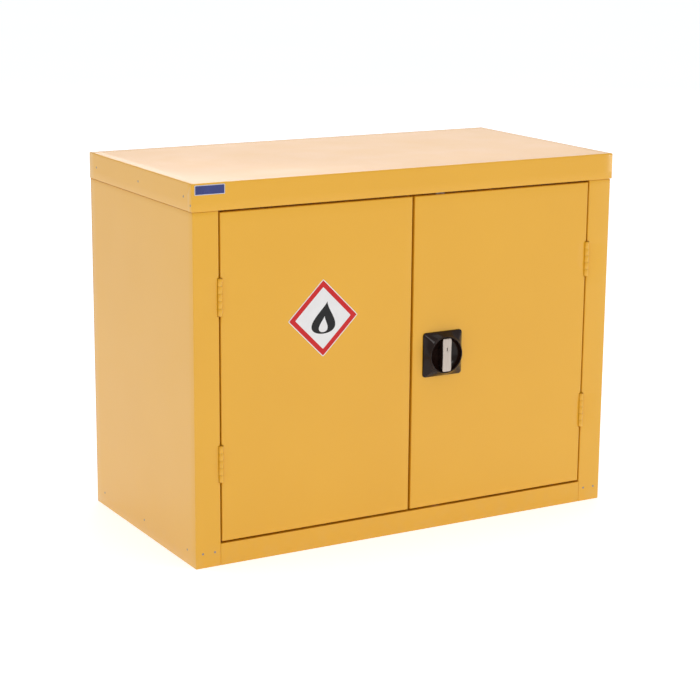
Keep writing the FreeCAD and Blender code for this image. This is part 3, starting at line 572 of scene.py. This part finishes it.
# --- Lock escutcheon ----------------------------------------------------------------------
# Moulded glossy black plastic: a square foot whose sides rise straight to a round rim, and
# in it the bowl that the grip turns in. Four screws hold it from behind.
ESCUTCHEON_CORNER = 6.0 * MM
ESCUTCHEON_EDGE = 2.0 * MM
RIM_OUTER = 35.5 * MM
RIM_INNER = 33.0 * MM
RIM_HEIGHT = 17.0 * MM
BOWL_FLOOR = 2.0 * MM
FLOOR_RADIUS = 14.0 * MM
BORE = 8.05 * MM
rim_roll = (RIM_OUTER - RIM_INNER) / 2
escutcheon_half = (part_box("lock_escutcheon")[1].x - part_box("lock_escutcheon")[0].x) / 2
lock_axis = np.array([lock_x, face, lock_z])

BLACK_DEEP = (0.010, 0.004, 0.003)
BLACK_BROWN = (0.016, 0.007, 0.005)
black_plastic, nodes, links, shader = new_material("black_moulding", ior=1.31)
links.new(shaded(nodes, links, grain(nodes, links, 25.0), (0.2, BLACK_DEEP), (0.8, BLACK_BROWN)),
          shader.inputs["Base Color"])
links.new(ranged(nodes, links, grain(nodes, links, 90.0), 0.08, 0.15), shader.inputs["Roughness"])
relief(nodes, links, shader, grain(nodes, links, 260.0, detail=2.0), 0.00003)


def set_out(name, centre, facing, across, along, out):
    """Skin from three grids about a centre: along two directions in a plane, and out along its normal."""
    facing = np.array(facing, float)
    first = np.array([1.0, 0, 0]) if abs(facing[0]) < 0.5 else np.array([0, 0, 1.0])
    second = np.cross(facing, first)
    points = (np.array(centre) + across[..., None] * first + along[..., None] * second
              + out[..., None] * facing)
    return skin(name, points, outward=False)


def rounded_square(half, corner, angles):
    """Distance from the middle to a square's edge in each direction: half / max(|cos|, |sin|) on a flat.

    On a corner it is the far crossing of the ray with the corner's circle about (q, q), q = half - corner.
    """
    wide = np.maximum(np.abs(np.cos(angles)), np.abs(np.sin(angles)))
    narrow = np.minimum(np.abs(np.cos(angles)), np.abs(np.sin(angles)))
    middle = half - corner
    projected = middle * (wide + narrow)
    on_circle = projected + np.sqrt(np.maximum(projected ** 2 - 2 * middle ** 2 + corner ** 2, 0))
    return np.where(half * narrow / wide > middle, on_circle, half / wide)


def bowl_height(radius):
    """Bowl over the door's face: flat out to the floor radius, then a quarter ellipse up to the rim."""
    reach = np.clip((radius - FLOOR_RADIUS) / (RIM_INNER - FLOOR_RADIUS), 0, 1)
    top = RIM_HEIGHT - rim_roll
    return top - (top - BOWL_FLOOR) * np.sqrt(1 - reach ** 2)


def escutcheon():
    """Rings from the bowl's floor over the rim and down to the square foot, and back along the underside.

    The sides are ruled: radius and height go straight from the rim to the foot in each direction.
    """
    angles = np.linspace(0, 2 * math.pi, 193)
    edge = rounded_square(escutcheon_half, ESCUTCHEON_CORNER, angles)
    lift = np.linspace(0, math.pi / 2, 15)
    inside = [(BORE, BOWL_FLOOR), (FLOOR_RADIUS, BOWL_FLOOR)]
    bowl_radii = FLOOR_RADIUS + (RIM_INNER - FLOOR_RADIUS) * np.sin(lift[1:])
    inside += list(zip(bowl_radii, bowl_height(bowl_radii)))
    roll = np.linspace(math.pi, 0, 9)[1:]
    roll_radii = RIM_INNER + rim_roll * (1 + np.cos(roll))
    inside += list(zip(roll_radii, RIM_HEIGHT - rim_roll * (1 - np.sin(roll))))
    radius = np.array([[ring] for ring, _ in inside]) + angles * 0
    height = np.array([[level] for _, level in inside]) + angles * 0
    share = np.linspace(0, 1, 13)[:, None]
    slope_radius = RIM_OUTER + (edge - RIM_OUTER) * share
    rim_foot = RIM_HEIGHT - rim_roll
    slope_height = rim_foot + (ESCUTCHEON_EDGE - rim_foot) * share + angles * 0
    soften = 0.6 * MM
    border = np.array([[1 - 0.3 * soften / escutcheon_half, -0.1], [1.0, -0.5]])
    border_radius = edge * border[:, :1]
    border_height = slope_height[-1] + soften * border[:, 1:]
    slope_radius[-1] = slope_radius[-1] - soften
    under_radius = np.stack([edge, np.full_like(edge, BORE), np.full_like(edge, BORE)])
    under_height = np.array([[0], [0], [BOWL_FLOOR]]) + angles * 0
    radius = np.concatenate([radius, slope_radius, border_radius, under_radius])
    height = np.concatenate([height, slope_height, border_height, under_height])
    return set_out("rings", lock_axis, (0, -1, 0), radius * np.cos(angles), radius * np.sin(angles), height)


lock_plate = settled(joined("lock_plate", [escutcheon()]), black_plastic, crease=50)
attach(lock_plate, "right_door")
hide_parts("lock_escutcheon")


# --- Turning grip -------------------------------------------------------------------------
# A bar across the bowl, a little narrower in the middle: black core, and a brushed plated
# face clipped on it. The lock barrel sits in its upper third.
GRIP_HALF_LENGTH = 31.7 * MM
GRIP_HALF_WIDTH = 10.25 * MM
GRIP_TOP = 16.5 * MM
GRIP_LIFT = 1.5 * MM
PLATE_TOP = 19.0 * MM
PLATE_CROWN = 0.8 * MM
SEAT_FLOOR = 5.8 * MM
BARREL_OFFSET = 11.0 * MM
BARREL_SEAT = 5.6 * MM

satin_nickel, nodes, links, shader = new_material("satin_nickel", metallic=1.0)
brushing = grain(nodes, links, 500.0, detail=4.0, stretch=(1, 1, 0.06))
links.new(shaded(nodes, links, brushing, (0.2, (0.46, 0.39, 0.34)), (0.8, (0.61, 0.53, 0.47))),
          shader.inputs["Base Color"])
links.new(ranged(nodes, links, brushing, 0.34, 0.50), shader.inputs["Roughness"])
relief(nodes, links, shader, brushing, 0.00004)


def grip_bar(name, rows):
    """Superellipse outline of power 8, waisted by 0.88 + 0.12 (z / half length)^2.

    Each row is (share of the outline, height, share of the bowl's curve added under it).
    """
    angles = np.linspace(0, 2 * math.pi, 121)
    power = 2 / 8
    along = GRIP_HALF_LENGTH * np.sign(np.sin(angles)) * np.abs(np.sin(angles)) ** power
    across = GRIP_HALF_WIDTH * np.sign(np.cos(angles)) * np.abs(np.cos(angles)) ** power
    across = across * (0.88 + 0.12 * (along / GRIP_HALF_LENGTH) ** 2)
    share, height, follow = (np.array(column)[:, None] for column in zip(*rows))
    under = np.maximum(bowl_height(np.hypot(across, along) * share) + 0.8 * MM, BOWL_FLOOR + GRIP_LIFT)
    out = np.where(follow > 0, under, height + angles * 0)
    bar = joined(name, [set_out("bar", lock_axis, (0, -1, 0), across * share, along * share, out)])
    turns = np.linspace(0, 2 * math.pi, 49)
    seat_radius = np.array([[0], [BARREL_SEAT], [BARREL_SEAT], [0]]) + turns * 0
    seat_height = np.array([[PLATE_TOP + MM], [PLATE_TOP + MM], [SEAT_FLOOR], [SEAT_FLOOR]]) + turns * 0
    seat = set_out("seat", lock_axis + np.array([0, 0, BARREL_OFFSET]), (0, -1, 0),
                   seat_radius * np.cos(turns), seat_radius * np.sin(turns), seat_height)
    seat = joined("barrel_seat", [seat])
    bore = bar.modifiers.new("barrel_seat", "BOOLEAN")
    bore.object = seat
    bore.solver = "EXACT"
    return bar, seat


core_rows = [(0, GRIP_TOP, 0), (0.97, GRIP_TOP, 0), (1, GRIP_TOP - 0.4 * MM, 0), (1, 0, 1), (0.9, 0, 1),
             (0.8, 0, 1), (0.7, 0, 1), (0.6, 0, 1), (0.4, 0, 1), (0.2, 0, 1), (0, 0, 1)]
crown = np.linspace(0, math.pi / 2, 6)
plate_rows = [(0, PLATE_TOP, 0), (0.6, PLATE_TOP, 0)]
plate_rows += [(0.94 + 0.06 * math.sin(turn), PLATE_TOP - PLATE_CROWN * (1 - math.cos(turn)), 0)
               for turn in crown]
plate_rows += [(1, GRIP_TOP, 0), (0, GRIP_TOP, 0)]
for name, rows, finish, node, slot_name in (
        ("grip_core", core_rows, black_plastic, "lock_grip", "black_plastic"),
        ("grip_face", plate_rows, satin_nickel, "lock_grip_plate", "satin_nickel")):
    bar, seat = grip_bar(name, rows)
    settled(bar, finish, crease=40)
    bpy.data.objects.remove(seat)
    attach(bar, "handle")
    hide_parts(node)

dressed("key_barrel", satin_nickel, edge=0.2 * MM)


# --- Rivets -------------------------------------------------------------------------------
# Domed blind rivets of bare metal: through the lid's flanges, low on the sides and stiles,
# and down both edges of the back panel.
RIVET_RADIUS = 2.2 * MM
RIVET_HEAD = 0.4 * MM

LID_RIVET_DROP = 26.0 * MM
TAB_RIVET_DROP = 38.0 * MM
TAB_RIVET_BACK = 5.0 * MM
FOOT_RIVET_RISE = 27.0 * MM
LID_RIVETS_BACK = np.array([35, 230, 427]) * MM
SIDE_RIVETS_BACK = np.array([38, 230, 422]) * MM
STILE_RIVETS_IN = np.array([14, 38]) * MM
BACK_RIVETS_UP = np.array([40, 240, 440, 630]) * MM

DULL_STEEL = (0.27, 0.24, 0.22)
PALE_STEEL = (0.38, 0.34, 0.32)
rivet_steel, nodes, links, shader = new_material("rivet_steel", metallic=1.0)
links.new(shaded(nodes, links, grain(nodes, links, 400.0), (0.2, DULL_STEEL), (0.8, PALE_STEEL)),
          shader.inputs["Base Color"])
links.new(ranged(nodes, links, grain(nodes, links, 900.0), 0.4, 0.6), shader.inputs["Roughness"])
relief(nodes, links, shader, grain(nodes, links, 1500.0), 0.00003)


def rivet(centre, facing):
    """Dome turned about its axis: height = head * (1 - (r / radius)^2), closed by a flat underside."""
    angles = np.linspace(0, 2 * math.pi, 21)
    rings = np.array([0, 0.35, 0.6, 0.8, 0.93, 1, 1, 0])[:, None]
    dome = np.array([1, 1, 1, 1, 1, 1, 0, 0])[:, None] * (1 - rings ** 2) * RIVET_HEAD + angles * 0
    radius = rings * RIVET_RADIUS
    return set_out("dome", centre, facing, radius * np.cos(angles), radius * np.sin(angles), dome)


def rivet_row(name, node, places):
    """One piece holding a rivet at each (centre, direction that it faces)."""
    row = settled(joined(name, [rivet(centre, facing) for centre, facing in places]), rivet_steel)
    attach(row, "cabinet")
    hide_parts(node)


lid_face = lid_low.y
back_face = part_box("back_panel")[1].y
lid_places, side_places, stile_places, back_places = [], [], [], []
for side in (-1, 1):
    out = (side, 0, 0)
    lid_places += [((side * lid_reach, lid_face + back, lid_high.z - LID_RIVET_DROP), out)
                   for back in LID_RIVETS_BACK]
    lid_places.append(((side * lid_high.x, lid_face + TAB_RIVET_BACK, lid_high.z - TAB_RIVET_DROP), out))
    side_places += [((side * side_outer, lid_face + back, FOOT_RIVET_RISE), out) for back in SIDE_RIVETS_BACK]
    stile_places += [((side * (side_outer - inset), face, FOOT_RIVET_RISE), (0, -1, 0))
                     for inset in STILE_RIVETS_IN]
    back_places += [((side * (side_outer - BACK_RETURN / 2), back_face, level), (0, 1, 0))
                    for level in BACK_RIVETS_UP]
rivet_row("lid_rivet_heads", "lid_rivets", lid_places)
rivet_row("side_rivet_heads", "side_rivets", side_places)
rivet_row("stile_rivet_heads", "stile_rivets", stile_places)
rivet_row("back_rivet_heads", "back_rivets", back_places)


# --- Badge --------------------------------------------------------------------------------
# A small blank plate stuck to the lid's left corner: a pale rim and a plain dark blue field.
badge_low, badge_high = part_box("name_badge")
badge_size = badge_high - badge_low
BADGE_CORNER = 1.5 * MM
badge_middle = (badge_low + badge_high) / 2


def film(name, tone, tone_dark, roughness):
    """Printed film: two close tones in clouds, and a faint grain in the surface."""
    made, nodes, links, shader = new_material(name, ior=1.36)
    links.new(shaded(nodes, links, grain(nodes, links, 60.0), (0.3, tone_dark), (0.7, tone)),
              shader.inputs["Base Color"])
    links.new(ranged(nodes, links, grain(nodes, links, 150.0), roughness, roughness + 0.1),
              shader.inputs["Roughness"])
    relief(nodes, links, shader, grain(nodes, links, 800.0), 0.00001)
    return made


def tablet(name, centre, half_width, half_height, corner, out, thickness):
    """Plate with round corners: the corner's circle is pushed out to the four corners of a rectangle."""
    angles = np.linspace(0, 2 * math.pi, 65)
    reach_x = (half_width - corner) * np.sign(np.cos(angles).round(9)) + corner * np.cos(angles)
    reach_z = (half_height - corner) * np.sign(np.sin(angles).round(9)) + corner * np.sin(angles)
    shares = np.array([0, 1, 1, 0])[:, None]
    heights = np.array([[out + thickness], [out + thickness], [out], [out]]) + angles * 0
    plate = set_out("tablet", centre, (0, -1, 0), reach_x * shares, reach_z * shares, heights)
    return joined(name, [plate])


badge_white = film("badge_rim", (0.60, 0.61, 0.70), (0.54, 0.55, 0.64), 0.3)
badge_blue = film("badge_blue", (0.05, 0.06, 0.22), (0.04, 0.05, 0.18), 0.25)
badge_front = (badge_middle.x, lid_face, badge_middle.z)
for name, finish, inset, out, thickness in (("badge_plate", badge_white, 0, 0, 0.5 * MM),
                                            ("badge_field", badge_blue, 1.2 * MM, 0.5 * MM, 0.1 * MM)):
    plate = tablet(name, badge_front, badge_size.x / 2 - inset, badge_size.z / 2 - inset,
                   BADGE_CORNER - inset / 2, out, thickness)
    settled(plate, finish)
    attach(plate, "cabinet")
    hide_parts("name_badge")


# --- Hazard diamond -----------------------------------------------------------------------
# Printed vinyl on the left door: a white diamond with a red frame and a plain drop-shaped
# flame, without words. The prints lie on the film one above the other.
label_low, label_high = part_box("hazard_label")
label_centre = ((label_low.x + label_high.x) / 2, face, (label_low.z + label_high.z) / 2)
label_half = (label_high.x - label_low.x) / 2
FILM = 0.12 * MM
PRINT = 0.04 * MM
FRAME_OUTER = 70.0 * MM
FRAME_INNER = 57.5 * MM
label_white = film("label_white", (0.80, 0.79, 0.79), (0.76, 0.75, 0.75), 0.35)
label_red = film("label_red", (0.60, 0.014, 0.016), (0.55, 0.010, 0.012), 0.35)
label_black = film("label_black", (0.010, 0.010, 0.011), (0.006, 0.006, 0.007), 0.35)


def printed(name, finish, outer, inner, out, thickness):
    """Flat print between an outer and an inner outline, each an (across, up) pair of arrays."""
    across = np.stack([inner[0], outer[0], outer[0], inner[0], inner[0]])
    along = np.stack([inner[1], outer[1], outer[1], inner[1], inner[1]])
    height = np.array([thickness, thickness, 0, 0, thickness])[:, None] + out + across * 0
    sheet = set_out("print", label_centre, (0, -1, 0), across, along, height)
    print_on = settled(joined(name, [sheet]), finish)
    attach(print_on, "left_door")
    return print_on


def diamond(half, corner=0.8 * MM):
    """Square of that half diagonal standing on its corner."""
    angles = np.linspace(0, 2 * math.pi, 97)
    reach = rounded_square(half / math.sqrt(2), corner, angles)
    return reach * np.cos(angles + math.pi / 4), reach * np.sin(angles + math.pi / 4)


def drop(width, height, lift):
    """Teardrop: across = width sin(t) sin(t / 2)^2, up = height cos(t), swayed a little at the tip."""
    t = np.linspace(2 * math.pi, 0, 49)
    across = width * np.sin(t) * np.sin(t / 2) ** 2 + 0.06 * width * (1 + np.cos(t)) ** 2
    return across, lift + height * np.cos(t)


nothing = (np.zeros(97), np.zeros(97))
film_sheet = printed("label_film", label_white, diamond(label_half - 0.2 * MM, 2 * MM), nothing, 0, FILM)
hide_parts("hazard_label")
printed("label_frame", label_red, diamond(FRAME_OUTER), diamond(FRAME_INNER), FILM, PRINT)
inner_drop = drop(14 * MM, 15 * MM, -11 * MM)
printed("label_flame", label_black, drop(38 * MM, 30 * MM, 1 * MM), inner_drop, FILM, PRINT)
